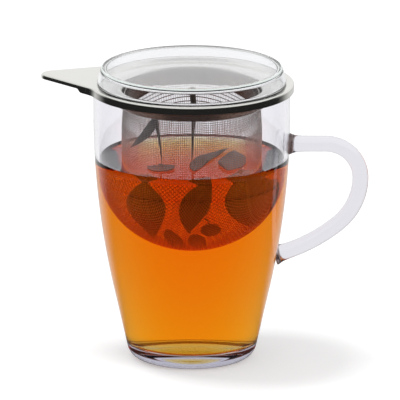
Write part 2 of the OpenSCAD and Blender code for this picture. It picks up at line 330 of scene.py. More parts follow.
tea_floor = dome(floor_rise, base_thickness - tea_overlap + floor_rise)
tea_wall = wall_section(wall - tea_overlap, base_thickness - tea_overlap, floor_corner)
tea_top = tea_level + meniscus_height
tea_wall = tea_wall[tea_wall[:, 1] < tea_top - 0.5 * mm]
tea_bend = bend_radius - wall + tea_overlap
tea_edge = (mug_radius - bend_radius + math.sqrt(tea_bend ** 2 - (straight_from - tea_top) ** 2), tea_top)
surface_r = tea_edge[0] * (1 - np.linspace(0, 1, 60)[1:] ** 2)
surface_z = tea_level + meniscus_height * np.exp(-(tea_edge[0] - surface_r) / meniscus_width)
tea_surface = np.stack([surface_r, surface_z], axis=1)
tea_surface[-1, 0] = pole
tea_section = np.concatenate([
    tea_floor, line(tea_floor[-1], tea_wall[0], flat_points), tea_wall, [tea_edge], tea_surface])
tea = revolve("tea", tea_section)
tea_touches = np.arange(len(tea_section)) < len(tea_section) - len(tea_surface)
mark_bare(tea, np.repeat(tea_touches, around).astype(float))
tea.data.materials.append(clear_material("tea", 1.333, tea_smoke, tea_depth, 0.0))
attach(tea, "mug")

# ---------------------------------------------------------------------------------------------------
# Infuser rim: one sheet of stainless steel, drawn into a recess and a neck, with its skirt turned down
# over the lip. The pointed grip tab is part of the same sheet, and its edge is turned down less.
rim_low, rim_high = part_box("infuser_rim")
sheet = 0.6 * mm
rim_top = rim_high.z
rim_radius = rim_high.y
rim_edge = 0.9 * mm
ring_width = 5.6 * mm
recess_depth = 1.6 * mm
recess_slope = 1.4 * mm
skirt_bottom = rim_top - sheet - 2.7 * mm
neck_inner = 30.2 * mm - sheet
neck_corner = 2 * mm
neck_bottom = rim_low.z
tab_reach = 67.2 * mm
tab_tip = 6 * mm
tab_spread = 39.3 * mm
tab_blend = 20 * mm
tab_direction = math.radians(165)
tab_bottom = rim_top - sheet - 1.2 * mm
tab_root = 49 * mm
rim_columns = 220
corner_points = 8
cut_bulge = 0.6


def tab_outline(columns):
    """The rim's outline and its outward normals, from the tab's tip round to the rim's far side and back.

    Each half is the tip's round, a straight edge, a hollow curve and the rim's circle, tangent in turn."""
    tip_at = tab_reach - tab_tip
    edge_angle = math.acos((tab_spread - tab_tip) / tip_at)
    out = np.array([math.cos(edge_angle), math.sin(edge_angle)])
    along = np.array([-out[1], out[0]])
    blend_angle = edge_angle - math.acos((tab_spread + tab_blend) / (rim_radius + tab_blend))
    blend_at = (rim_radius + tab_blend) * np.array([math.cos(blend_angle), math.sin(blend_angle)])
    edge_start = np.array([tip_at, 0]) + tab_tip * out
    edge_end = tab_spread * out + (blend_at @ along) * along
    tip = np.linspace(0, edge_angle, 24)
    tip_points = np.array([tip_at, 0]) + tab_tip * np.stack([np.cos(tip), np.sin(tip)], axis=1)
    tip_normals = np.stack([np.cos(tip), np.sin(tip)], axis=1)
    edge_points = line(edge_start, edge_end, 40)
    edge_normals = np.broadcast_to(out, edge_points.shape)
    hollow = np.linspace(edge_angle, blend_angle, 24)
    hollow_normals = np.stack([np.cos(hollow), np.sin(hollow)], axis=1)
    hollow_points = blend_at - tab_blend * hollow_normals
    ring = np.linspace(blend_angle, math.pi, columns)[1:-1]
    ring_normals = np.stack([np.cos(ring), np.sin(ring)], axis=1)
    half = np.concatenate([tip_points, edge_points, hollow_points, rim_radius * ring_normals])
    normals = np.concatenate([tip_normals, edge_normals, hollow_normals, ring_normals])
    mirrored = np.array([1, -1])
    points = np.concatenate([half, [(-rim_radius, 0)], (half * mirrored)[:0:-1]])
    normals = np.concatenate([normals, [(-1, 0)], (normals * mirrored)[:0:-1]])
    turn = np.array([[math.cos(tab_direction), math.sin(tab_direction)],
                     [-math.sin(tab_direction), math.cos(tab_direction)]])
    return points @ turn, normals @ turn


def rounded(corners):
    """A line through corners (r, z, radius), each replaced by the arc that touches both of its sides."""
    made = [np.array([corners[0][:2]])]
    for before, corner, after in zip(corners, corners[1:], corners[2:]):
        at = np.array(corner[:2])
        back, on = np.array(before[:2]) - at, np.array(after[:2]) - at
        back, on = back / np.linalg.norm(back), on / np.linalg.norm(on)
        half = math.acos(np.clip(back @ on, -1, 1)) / 2
        middle = at + (back + on) / np.linalg.norm(back + on) * corner[2] / math.sin(half)
        start, end = at + back * corner[2] / math.tan(half), at + on * corner[2] / math.tan(half)
        a0, a1 = (math.atan2(*(p - middle)[::-1]) for p in (start, end))
        a1 += 2 * math.pi * round((a0 - a1) / (2 * math.pi))
        made.append(arc(middle, corner[2], a0, a1, corner_points))
    made.append(np.array([corners[-1][:2]]))
    return np.concatenate(made)


def thicken(name, grid, thickness):
    """A sheet under a grid of points: the grid, the grid again thickness below it, and round edges between.

    Below is along the grid's normals, which are the cross products of its columns' and rows' steps."""
    along = np.gradient(grid, axis=0)
    across = np.roll(grid, -1, axis=1) - np.roll(grid, 1, axis=1)
    normal = np.cross(across, along)
    normal /= np.linalg.norm(normal, axis=2, keepdims=True)
    under = grid - thickness * normal
    turn = np.linspace(0, math.pi, 7)[1:-1, None, None]
    ends = []
    for row, way in ((-1, 1), (0, -1)):
        middle = (grid[row] + under[row]) / 2
        out = way * along[row] / np.linalg.norm(along[row], axis=1, keepdims=True)
        ends.append(middle + thickness / 2 * (np.cos(turn) * normal[row] + np.sin(turn) * out * cut_bulge))
    return skin(name, np.concatenate([grid, ends[0], under[::-1], ends[1][::-1]]))


ring_inner = rim_radius - ring_width
recess_top = rim_top - recess_depth
drawn_part = rounded([
    (neck_inner, neck_bottom + 0.3 * mm, 0), (neck_inner, recess_top, neck_corner),
    (ring_inner - recess_slope, recess_top, 1.2 * mm), (ring_inner, rim_top, 1.2 * mm),
    (ring_inner + 1.2 * mm, rim_top, 0)])
neck_end, recess_end = corner_points, corner_points + 1
neck_rows = line(drawn_part[0], drawn_part[1], 8)
floor_rows = line(drawn_part[neck_end], drawn_part[recess_end], 4)
drawn_part = np.concatenate([
    drawn_part[:1], neck_rows, drawn_part[1:recess_end], floor_rows, drawn_part[recess_end:]])
outline, outline_normals = tab_outline(rim_columns)
bearing = np.arctan2(outline[:, 1], outline[:, 0])
inner_rows = np.stack([
    drawn_part[:, 0, None] * np.cos(bearing), drawn_part[:, 0, None] * np.sin(bearing),
    np.broadcast_to(drawn_part[:, 1, None], (len(drawn_part), len(bearing)))], axis=-1)
edge_arc = arc((-rim_edge, rim_top - rim_edge), rim_edge, math.pi / 2, 0, 9)
reach = np.linalg.norm(outline, axis=1)
shallow = np.clip((reach - tab_root) / (1.5 * mm) + 0.5, 0, 1)
shallow = shallow * shallow * (3 - 2 * shallow)
bottom = skirt_bottom + (tab_bottom - skirt_bottom) * shallow
edge_rows = [np.column_stack([outline + e * outline_normals, np.full(len(outline), z)]) for e, z in edge_arc]
skirt_top = edge_arc[-1, 1]
skirt_rows = [np.column_stack([outline, skirt_top + (bottom - skirt_top) * t]) for t in np.linspace(0, 1, 5)[1:]]
first_flat, last_flat = inner_rows[-1], edge_rows[0]
flat_rows = [first_flat + (last_flat - first_flat) * t for t in np.linspace(0, 1, 8)[1:-1]]
rim_grid = np.concatenate([inner_rows, np.array(flat_rows), np.array(edge_rows), np.array(skirt_rows)])
infuser_rim = thicken("infuser_rim_sheet", rim_grid[::-1], sheet)

# Polished sheet keeps the fine lines of its last polish, and its gloss varies in soft clouds.
polish, polish_in, polish_out = new_group(
    "polished_steel", {"Roughness": 0.2, "Spread": 0.08, "Depth": 0.1},
    {"Roughness": "NodeSocketFloat", "Normal": "NodeSocketVector"})
polish_place = add(polish, "ShaderNodeTexCoord")
polish_cloud = add(polish, "ShaderNodeTexNoise", {
    "Vector": polish_place.outputs["Object"], "Scale": 70.0, "Detail": 3.0})
polish_stretch = add(polish, "ShaderNodeMapping", {
    "Vector": polish_place.outputs["Object"], "Scale": (400.0, 9000.0, 9000.0)})
polish_lines = add(polish, "ShaderNodeTexNoise", {
    "Vector": polish_stretch.outputs["Vector"], "Scale": 1.0, "Detail": 2.0})
polish_amount = add(polish, "ShaderNodeMapRange", {
    "Value": polish_cloud.outputs["Fac"], "From Min": 0.3, "From Max": 0.7, "To Min": -1.0, "To Max": 1.0})
polish_scaled = add(polish, "ShaderNodeMath", {
    0: polish_amount.outputs["Result"], 1: polish_in["Spread"], 2: polish_in["Roughness"]},
    operation="MULTIPLY_ADD")
polish_bump = add(polish, "ShaderNodeBump", {
    "Height": polish_lines.outputs["Fac"], "Strength": polish_in["Depth"], "Distance": 0.01 * mm})
polish.links.new(polish_scaled.outputs["Value"], polish_out["Roughness"])
polish.links.new(polish_bump.outputs["Normal"], polish_out["Normal"])


# A colour painted over steel: fully up to one height, and not at all above another. On the rim's neck it is painted
# shade, and on the wire cloth it is painted tea-coloured light.
painted_band, painted_band_in, painted_band_out = new_group(
    "painted_light_below", {"Full Below": 0.0, "Unpainted Above": 0.01}, {"Mask": "NodeSocketFloat"})
painted_band_place = add(painted_band, "ShaderNodeTexCoord")
painted_band_height = add(painted_band, "ShaderNodeSeparateXYZ", {0: painted_band_place.outputs["Object"]})
painted_band_fade = add(painted_band, "ShaderNodeMapRange", {
    "Value": painted_band_height.outputs["Z"], "From Min": painted_band_in["Full Below"], "From Max": painted_band_in["Unpainted Above"],
    "To Min": 1.0, "To Max": 0.0}, interpolation_type="SMOOTHSTEP")
painted_band.links.new(painted_band_fade.outputs["Result"], painted_band_out["Mask"])


def steel_material(name, own_colour, painted_colour, full_below, unpainted_above, roughness, spread, depth):
    """Bare stainless steel: its own colour, a colour painted in below a height (painted shade on the rim's neck,
    painted tea-coloured light on the wire cloth), and the polish lines at a given depth.
    """
    made = bpy.data.materials.new(name)
    made.use_nodes = True
    tree = made.node_tree
    surface = tree.nodes["Principled BSDF"]
    surface.inputs["Metallic"].default_value = 1
    mask = add(tree, "ShaderNodeGroup", node_tree=painted_band)
    mask.inputs["Full Below"].default_value = full_below
    mask.inputs["Unpainted Above"].default_value = unpainted_above
    shade = add(tree, "ShaderNodeMix", {
        "Factor": mask.outputs["Mask"], "A": (*own_colour, 1), "B": (*painted_colour, 1)}, data_type="RGBA", name="shade")
    finish = add(tree, "ShaderNodeGroup", node_tree=polish)
    for key, value in (("Roughness", roughness), ("Spread", spread), ("Depth", depth)):
        finish.inputs[key].default_value = value
    tree.links.new(shade.outputs["Result"], surface.inputs["Base Color"])
    tree.links.new(finish.outputs["Roughness"], surface.inputs["Roughness"])
    tree.links.new(finish.outputs["Normal"], surface.inputs["Normal"])
    return made


# The rim's neck, and the clamp ring inside it, are painted dark brown up to just under the recess: painted shade
# beneath the rim.
rim_steel = steel_material(
    "rim_steel", (0.74, 0.735, 0.70), (0.11, 0.062, 0.045), recess_top - 2.5 * mm, recess_top - 1 * mm,
    roughness=0.16, spread=0.04, depth=0.12)
infuser_rim.data.materials.append(rim_steel)
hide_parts("infuser_rim")
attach(infuser_rim, "infuser")

# ---------------------------------------------------------------------------------------------------
# Clamp ring: a plain hoop of the same steel, spot-welded inside the neck. It holds the wire cloth.
clamp_low, clamp_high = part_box("infuser_clamp_ring")
clamp_thickness = 0.6 * mm
clamp_round = 0.2 * mm
clamp_outer, clamp_inner = clamp_high.x, clamp_high.x - clamp_thickness
clamp_section = np.concatenate([
    arc((clamp_outer - clamp_round, clamp_low.z + clamp_round), clamp_round, -math.pi / 2, 0, 5),
    arc((clamp_outer - clamp_round, clamp_high.z - clamp_round), clamp_round, 0, math.pi / 2, 5),
    arc((clamp_inner + clamp_round, clamp_high.z - clamp_round), clamp_round, math.pi / 2, math.pi, 5),
    arc((clamp_inner + clamp_round, clamp_low.z + clamp_round), clamp_round, math.pi, 3 * math.pi / 2, 5)])
clamp_ring = revolve("infuser_clamp_hoop", clamp_section)
clamp_ring.data.materials.append(rim_steel)
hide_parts("infuser_clamp_ring")
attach(clamp_ring, "infuser")

# ---------------------------------------------------------------------------------------------------
# Basket: plain-woven stainless wire cloth. The side is rolled, and the round bottom is drawn from a
# flat sheet, so its square mesh stretches towards the side. Each wire goes over one and under the next.
basket_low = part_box("infuser_basket")[0]
side_wire = 0.18 * mm
side_pitch = 0.8 * mm
bowl_wire = 0.24 * mm
bowl_pitch = 1.05 * mm
cloth_radius = 29.55 * mm
swell_radius = cloth_radius + 0.85 * mm
bowl_radius = swell_radius - 0.8 * mm
bowl_height = basket_low.z + bowl_radius
swell_height = 95.8 * mm
swell = swell_radius - cloth_radius
side_arc = ((neck_bottom - swell_height) ** 2 + swell ** 2) / (2 * swell)
bowl_lean = math.atan((swell_height - bowl_height) / (side_arc - swell_radius))
cloth_top = neck_bottom + 4 * mm
half_cloth = 0.2 * mm
wire_sides = 6


def wires(lines, lifts, normals, thickness):
    """Round wires along many lines at once, shape (lines, points, 3), each lifted off the cloth by its lifts.

    Each ring is point + lift * normal + thickness / 2 * (cos a * side + sin a * up)."""
    centres = lines + lifts[..., None] * normals
    along = np.gradient(centres, axis=1)
    along /= np.linalg.norm(along, axis=2, keepdims=True)
    side = np.cross(along, normals)
    side /= np.linalg.norm(side, axis=2, keepdims=True)
    up = np.cross(side, along)
    a = np.linspace(0, 2 * math.pi, wire_sides, endpoint=False)[:, None]
    ring = thickness / 2 * (np.cos(a) * side[:, :, None, :] + np.sin(a) * up[:, :, None, :])
    return centres[:, :, None, :] + ring


def wire_mesh(name, bundles):
    """One mesh of open-ended tubes, each bundle an array (wires, points, sides, 3) whose ends are closed flat."""
    points, faces, start = [], [], 0
    for bundle in bundles:
        count, length, sides = bundle.shape[:3]
        index = start + np.arange(count * length * sides).reshape(count, length, sides)
        here, there = index[:, :-1], index[:, 1:]
        quads = np.stack([here, there, np.roll(there, -1, 2), np.roll(here, -1, 2)], axis=-1)
        faces += quads.reshape(-1, 4).tolist()
        faces += index[:, 0].tolist() + index[:, -1, ::-1].tolist()
        points.append(bundle.reshape(-1, 3))
        start += bundle[..., 0].size
    mesh = bpy.data.meshes.new(name)
    mesh.from_pydata(np.concatenate(points), [], faces)
    mesh.shade_smooth()
    made = bpy.data.objects.new(name, mesh)
    bpy.context.scene.collection.objects.link(made)
    return made


upright_count = 2 * round(math.pi * bowl_radius / side_pitch)
side_bottom = bowl_height - bowl_radius * math.sin(bowl_lean)
ring_count = round((cloth_top - side_bottom) / side_pitch)
ring_z = side_bottom + side_pitch * np.arange(ring_count + 1)
side_radius = swell_radius - side_arc + np.sqrt(side_arc ** 2 - (ring_z - swell_height) ** 2)
side_radius = np.where(ring_z > neck_bottom, cloth_radius, side_radius) - half_cloth
turn_angle = np.linspace(0, 2 * math.pi, upright_count, endpoint=False)
over = np.where((np.arange(upright_count)[:, None] + np.arange(ring_count + 1)) % 2 == 0, 1, -1)

# Pressed between the neck and the clamp ring, the wires weave half as deep as where the cloth hangs free.
weave_depth = side_wire * np.where(ring_z > neck_bottom, 0.25, 0.5)
lift = over * weave_depth
side_normals = np.stack(np.broadcast_arrays(
    np.cos(turn_angle)[:, None], np.sin(turn_angle)[:, None], np.zeros(ring_count + 1)), axis=-1)
side_points = side_radius[None, :, None] * side_normals
side_points[:, :, 2] = ring_z
uprights = wires(side_points, lift, side_normals, side_wire)
closed = np.concatenate([np.arange(upright_count), [0]])
hoops = wires(side_points[closed].transpose(1, 0, 2), -lift[closed].T, side_normals[closed].transpose(1, 0, 2),
              side_wire)

# The cloth's own steel is painted darker than the rim's: painted shade for the dark surroundings that it mirrors.
# Where it stands in the tea, and for a little way above it, it is painted red-orange: painted tea-coloured light.
# Between the neck and the clamp ring it is painted pale: painted light.
wire_steel = steel_material(
    "wire_steel", (0.40, 0.355, 0.335), (0.92, 0.33, 0.2), tea_level - 1 * mm, tea_level + 16 * mm,
    roughness=0.3, spread=0.06, depth=0.0)
wire_tree = wire_steel.node_tree
wire_place = add(wire_tree, "ShaderNodeTexCoord")
wire_height = add(wire_tree, "ShaderNodeSeparateXYZ", {0: wire_place.outputs["Object"]})
wire_pale_mask = add(wire_tree, "ShaderNodeMapRange", {
    "Value": wire_height.outputs["Z"], "From Min": neck_bottom - 0.5 * mm, "From Max": neck_bottom + 0.5 * mm})
wire_shade = add(wire_tree, "ShaderNodeMix", {
    "Factor": wire_pale_mask.outputs["Result"], "A": wire_tree.nodes["shade"].outputs["Result"],
    "B": (0.85, 0.83, 0.85, 1)}, data_type="RGBA")
wire_tree.links.new(wire_shade.outputs["Result"], wire_tree.nodes["Principled BSDF"].inputs["Base Color"])
side_uprights = wire_mesh("basket_side_uprights", [uprights])
side_hoops = wire_mesh("basket_side_hoops", [hoops])


def bowl_wires(flip):
    """One family of the bowl's wires, which run slantwise to the front, in bundles of one wire each.

    The flat cloth's point (u, v) goes to the bowl without changing its area: its distance rho from the
    middle becomes the polar angle 2 asin(rho / 2R)."""
    flat_reach = 2 * bowl_radius * math.sin(math.pi / 4 - bowl_lean / 2)
    count = int(flat_reach / bowl_pitch)
    bundles = []
    for k in range(-count, count + 1):
        across = (k + 0.5) * bowl_pitch
        if abs(across) >= flat_reach - bowl_pitch:
            continue
        half = int(math.sqrt(flat_reach ** 2 - across ** 2) / bowl_pitch - 0.5)
        if half < 1:
            continue
        j = np.arange(-half - 1, half + 1)
        run = (j + 0.5) * bowl_pitch
        u, v = (run, np.full(len(run), across)) if flip else (np.full(len(run), across), run)
        u, v = (u - v) * math.sqrt(0.5), (u + v) * math.sqrt(0.5)
        rho = np.hypot(u, v)
        polar = 2 * np.arcsin(np.minimum(rho, flat_reach) / (2 * bowl_radius))
        out = np.stack([np.sin(polar) * u / rho, np.sin(polar) * v / rho, -np.cos(polar)], axis=-1)
        centre = out * (bowl_radius - half_cloth)
        centre[:, 2] += bowl_height
        sign = np.where((j + k) % 2 == 0, 1, -1) * (1 if flip else -1)
        bundles.append(wires(centre[None], (sign * bowl_wire * 0.5)[None], out[None], bowl_wire))
    return bundles


bowl_warp = wire_mesh("basket_bowl_warp", bowl_wires(False))
bowl_weft = wire_mesh("basket_bowl_weft", bowl_wires(True))
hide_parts("infuser_basket")
for piece in (side_uprights, side_hoops, bowl_warp, bowl_weft):
    piece.data.materials.append(wire_steel)
    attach(piece, "infuser")

# ---------------------------------------------------------------------------------------------------
# Steeped leaves: a few large leaves, a berry and two stalks that the basket holds back. Some lie against
# the cloth under the tea, one clings above it, and some float. The tea among them is stronger.
strong_smoke = (0.954, 0.61, 0.0)
strong_depth = 50.0
leaf_gap = 0.9 * mm
leaf_thickness = 0.3 * mm
leaf_stalk = 0.35 * mm


def basket_reach(z, gap):
    """The basket's radius at height z, less a gap: its held top, its swollen side and its round bottom in turn."""
    z = np.asarray(z, float)
    side = swell_radius - side_arc + np.sqrt(side_arc ** 2 - (z - swell_height) ** 2)
    bottom = np.sqrt(np.maximum((bowl_radius - gap) ** 2 - (z - bowl_height) ** 2, 0)) + gap
    reach = np.where(z > neck_bottom, cloth_radius - clamp_thickness, np.where(z > side_bottom, side, bottom))
    return reach - gap


def against_cloth(a, b):
    """Lays the point (a, b) on the inner side of the basket's front: x = a, z = b."""
    return np.stack([a, -np.sqrt(np.maximum(basket_reach(b, leaf_gap) ** 2 - a * a, 0)), b], axis=-1)


def afloat(a, b):
    """Lays the point (a, b) on the tea: x = a, y = b, on a slow swell."""
    return np.stack([a, b, tea_level + 0.5 * mm * (1.2 + np.sin(a / (3 * mm)) * np.cos(b / (5 * mm)))], axis=-1)


def leaf(name, spine, width, lay, fullness=1.0, point=0.8, teeth=0):
    """A leaf's blade, drawn flat as spine(t) + u * half width(t) * side(t) for u from -1 to 1, and then laid.

    The spine is the polynomial through its given points. The half width goes as sin(pi * t ** fullness) ** point,
    with teeth as a saw's small steps along the edge."""
    t = np.linspace(0, 1, 72)
    curve = np.polyfit(np.linspace(0, 1, len(spine)), np.array(spine), len(spine) - 1)
    course = np.stack([np.polyval(curve[:, 0], t), np.polyval(curve[:, 1], t)], axis=1) * mm
    along = np.gradient(course, axis=0)
    along /= np.linalg.norm(along, axis=1, keepdims=True)
    side = np.stack([-along[:, 1], along[:, 0]], axis=1)
    half = width / 2 * np.sin(math.pi * t ** fullness) ** point
    if teeth:
        half = half * (0.86 + 0.14 * (t * teeth % 1))
    half = np.maximum(half, leaf_stalk * (1 - 0.6 * t))
    u = np.linspace(-1, 1, 13)
    flat = course[:, None, :] + (u * half[:, None])[:, :, None] * side[:, None, :]
    points = lay(flat[..., 0], flat[..., 1])
    rows, columns = points.shape[:2]
    index = np.arange(rows * columns).reshape(rows, columns)
    quads = np.stack([index[:-1, :-1], index[:-1, 1:], index[1:, 1:], index[1:, :-1]], axis=-1).reshape(-1, 4)
    mesh = bpy.data.meshes.new(name)
    mesh.from_pydata(points.reshape(-1, 3), [], quads.tolist())
    mesh.shade_smooth()
    across, length = np.meshgrid(u, t)
    place = np.stack([across, length], axis=-1).reshape(-1, 2)[np.array([v for f in quads.tolist() for v in f])]
    mesh.uv_layers.new(name="blade").data.foreach_set("uv", place.ravel())
    made = bpy.data.objects.new(name, mesh)
    bpy.context.scene.collection.objects.link(made)
    shell = made.modifiers.new("thickness", "SOLIDIFY")
    shell.thickness = leaf_thickness
    shell.offset = 0
    return made


def leaf_material(name, dark, light, vein, lets_light):
    """A leaf's skin: two colours in soft clouds, and the midrib and its side veins along the blade's own map.

    lets_light is the share of the light that passes through the blade."""
    made = bpy.data.materials.new(name)
    made.use_nodes = True
    tree = made.node_tree
    surface = tree.nodes["Principled BSDF"]
    place = add(tree, "ShaderNodeTexCoord")
    cloud = add(tree, "ShaderNodeTexNoise", {"Vector": place.outputs["Object"], "Scale": 160.0, "Detail": 3.0})
    blade = add(tree, "ShaderNodeSeparateXYZ", {0: place.outputs["UV"]})
    out = add(tree, "ShaderNodeMath", {0: blade.outputs["X"]}, operation="ABSOLUTE")
    slant = add(tree, "ShaderNodeMath", {0: out.outputs["Value"], 1: -0.22, 2: blade.outputs["Y"]},
                operation="MULTIPLY_ADD")
    count = add(tree, "ShaderNodeMath", {0: slant.outputs["Value"], 1: 70.0}, operation="MULTIPLY")
    wave = add(tree, "ShaderNodeMath", {0: count.outputs["Value"]}, operation="SINE")
    side_vein = add(tree, "ShaderNodeMapRange", {"Value": wave.outputs["Value"], "From Min": 0.8, "From Max": 1.0})
    midrib = add(tree, "ShaderNodeMapRange", {
        "Value": out.outputs["Value"], "From Min": 0.03, "From Max": 0.09, "To Min": 1.0, "To Max": 0.0})
    veins = add(tree, "ShaderNodeMath", {0: side_vein.outputs["Result"], 1: midrib.outputs["Result"]},
                operation="MAXIMUM")
    colour = add(tree, "ShaderNodeMix", {"Factor": cloud.outputs["Fac"], "A": (*dark, 1), "B": (*light, 1)},
                 data_type="RGBA")
    veined = add(tree, "ShaderNodeMix", {
        "Factor": veins.outputs["Value"], "A": colour.outputs["Result"], "B": (*vein, 1)}, data_type="RGBA")
    bump = add(tree, "ShaderNodeBump", {"Height": veins.outputs["Value"], "Strength": 0.5, "Distance": 0.1 * mm})
    tree.links.new(veined.outputs["Result"], surface.inputs["Base Color"])
    tree.links.new(bump.outputs["Normal"], surface.inputs["Normal"])
    surface.inputs["Roughness"].default_value = 0.35
    shining = add(tree, "ShaderNodeBsdfTranslucent", {"Color": veined.outputs["Result"]})
    wet = add(tree, "ShaderNodeMixShader", {0: lets_light, 1: surface.outputs["BSDF"], 2: shining.outputs["BSDF"]})
    tree.links.new(wet.outputs["Shader"], tree.nodes["Material Output"].inputs["Surface"])
    return made


steeped_skin = leaf_material("steeped_leaf", (0.52, 0.20, 0.12), (0.68, 0.31, 0.16), (0.76, 0.38, 0.2), 0.4)
damp_skin = leaf_material("damp_leaf", (0.05, 0.035, 0.028), (0.11, 0.09, 0.06), (0.13, 0.10, 0.07), 0.1)

berry_stalk_line = np.array([(4.8, 69.5), (6.2, 68.2), (7.2, 66)]) * mm
steeped = [
    leaf("leaf_pointed", [(-18.1, 86), (-17.0, 73), (-12.8, 57)], 14 * mm, against_cloth, 0.9, point=1.35),
    leaf("leaf_long", [(-0.8, 62.5), (0.6, 74), (7.6, 86.5)], 11.5 * mm, against_cloth, 1.25),
    leaf("leaf_wide", [(21.5, 61), (21.5, 74), (20.5, 89)], 17 * mm, against_cloth, 1.3),
    leaf("leaf_small", [(-9.5, 64), (-6.0, 58), (-1.5, 54.5)], 5.5 * mm, against_cloth, 0.8),
    leaf("leaf_folded", [(-0.5, 61.5), (2.0, 58), (4.5, 53)], 6.5 * mm, against_cloth, 0.9),
    leaf("berry", [(3.3, 63.4), (7.1, 63.9), (10.9, 63.4)], 6.2 * mm, against_cloth, 1.0, point=0.5),
    rod("berry_stalk", berry_stalk_line, np.full(3, leaf_stalk), 8, y=-23.6 * mm)]

# The tall stalk stands in the tea, bent at its top, and the slim one leans beside it. Both thin downwards.
tall_z = np.linspace(118, 87, 24)
tall_bend = np.clip((tall_z - 112) / 6, 0, 1)
tall_x = 0.9 - 1.2 * tall_bend ** 2 - 0.9 * (112 - tall_z) / 25
tall_radius = 0.25 + 1.15 * ((tall_z - 87) / 31) ** 1.1
slim_z = np.linspace(109, 88, 18)
slim_up = (slim_z - 88) / 21
slim_x = -12.8 - 2.6 * slim_up ** 1.4
slim_radius = 0.2 + 0.9 * slim_up ** 1.5
damp = [
    leaf("leaf_toothed", [(-14.6, 114.5), (-18.5, 106.5), (-26.0, 97)], 3.8 * mm, against_cloth, 0.8, teeth=9),
    leaf("leaf_afloat_left", [(-19, -14), (-13, -16), (-7.5, -14)], 13 * mm, afloat),
    leaf("leaf_afloat_right", [(18.5, 12), (17.5, -5), (15.5, -22)], 12 * mm, afloat, 1.1),
    leaf("leaf_afloat_long", [(1, -22), (4.5, -4), (15.5, 14)], 7 * mm, afloat, 0.9),
    rod("tall_stalk", np.stack([tall_x, tall_z], axis=1) * mm, tall_radius * mm, 12),
    rod("slim_stalk", np.stack([slim_x, slim_z], axis=1) * mm, slim_radius * mm, 12, y=-10 * mm)]
for skin_of_leaf, pieces in ((steeped_skin, steeped), (damp_skin, damp)):
    for piece in pieces:
        piece.data.materials.append(skin_of_leaf)
        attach(piece, "infuser")

strong_z = np.linspace(bowl_height - bowl_radius + 0.7 * mm, tea_level - 0.4 * mm, 60)
strong_side = np.column_stack([np.maximum(basket_reach(strong_z, 0.6 * mm), pole), strong_z])
strong_top = line(strong_side[-1], (0, strong_z[-1]), 6)
strong_section = np.concatenate([strong_side, strong_top, [(pole, strong_z[-1])]])
strong_tea = revolve("strong_tea", strong_section, 96)
mark_bare(strong_tea, np.ones(len(strong_tea.data.vertices)))
strong_tea.data.materials.append(clear_material("strong_tea", 1.0, strong_smoke, strong_depth, 0.0))
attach(strong_tea, "mug")

# ---------------------------------------------------------------------------------------------------
# Lid: a shallow dish of pressed glass that lies face down on the rim's ring. Its top is flat and its
# wall leans out to a rounded foot. The glass is faintly green.
lid_low, lid_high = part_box("lid")
lid_foot_radius = lid_high.x
lid_base = lid_low.z
lid_top_z = lid_high.z
lid_flare = 1.6 * mm
lid_top = 1.8 * mm
lid_wall = 2 * mm
lid_hollow = 1.5 * mm
lid_edge = 1 * mm
lid_foot = 0.9 * mm
lid_round_points = 16
lid_flat_points = 12
glow_edge_rows = 11
lid_low_round = np.array([lid_foot_radius - lid_foot, lid_base + lid_foot])
lid_high_round = np.array([lid_foot_radius - lid_flare - lid_edge, lid_top_z - lid_edge])
lid_side = lid_high_round - lid_low_round
lid_lean = math.atan2(lid_side[1], lid_side[0]) - math.acos((lid_foot - lid_edge) / np.linalg.norm(lid_side))
lid_normal = np.array([math.cos(lid_lean), math.sin(lid_lean)])
inner_reach = lid_low_round @ lid_normal + lid_foot - lid_wall
inner_foot = (inner_reach - lid_base * lid_normal[1]) / lid_normal[0]
hollow_z = lid_top_z - lid_top - lid_hollow
hollow_r = (inner_reach - lid_hollow - hollow_z * lid_normal[1]) / lid_normal[0]
hollow = arc((hollow_r, hollow_z), lid_hollow, math.pi / 2, lid_lean, lid_round_points)
lid_section = np.concatenate([
    [(pole, lid_top_z - lid_top)], line((0, lid_top_z - lid_top), hollow[0], lid_flat_points), hollow,
    rounded([(*hollow[-1], 0), (inner_foot, lid_base, 0.5 * mm), (lid_foot_radius, lid_base, 0)])[1:-1],
    arc(lid_low_round, lid_foot, -math.pi / 2, lid_lean, lid_round_points),
    arc(lid_high_round, lid_edge, lid_lean, math.pi / 2, lid_round_points),
    line((lid_high_round[0], lid_top_z), (0, lid_top_z), lid_flat_points), [(pole, lid_top_z)]])
lid = revolve("lid_dish", lid_section)
mark_bare(lid, np.zeros(0))
lid.data.materials.append(clear_material("lid_glass", 1.52, (0.30, 0.62, 0.50), 9.0))

# The edge of the lid's top is matt and painted pale green, mostly opaque: a painted highlight for the light that the
# green glass carries to its edge.
lid_glow_edge = bpy.data.materials.new("lid_painted_glow_edge")
lid_glow_edge.use_nodes = True
glow_edge_surface = lid_glow_edge.node_tree.nodes["Principled BSDF"]
glow_edge_surface.inputs["Base Color"].default_value = (0.92, 1.0, 0.97, 1)
glow_edge_surface.inputs["Roughness"].default_value = 0.5
glow_edge_surface.inputs["IOR"].default_value = 1.52
glow_edge_surface.inputs["Transmission Weight"].default_value = 0.15
lid.data.materials.append(lid_glow_edge)
edge_row = len(lid_section) - 1 - lid_flat_points - lid_round_points
on_edge = np.zeros(len(lid.data.polygons), dtype=np.int32)
on_edge[edge_row * around:(edge_row + glow_edge_rows) * around] = 1
lid.data.polygons.foreach_set("material_index", on_edge)
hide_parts("lid")
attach(lid, "lid")

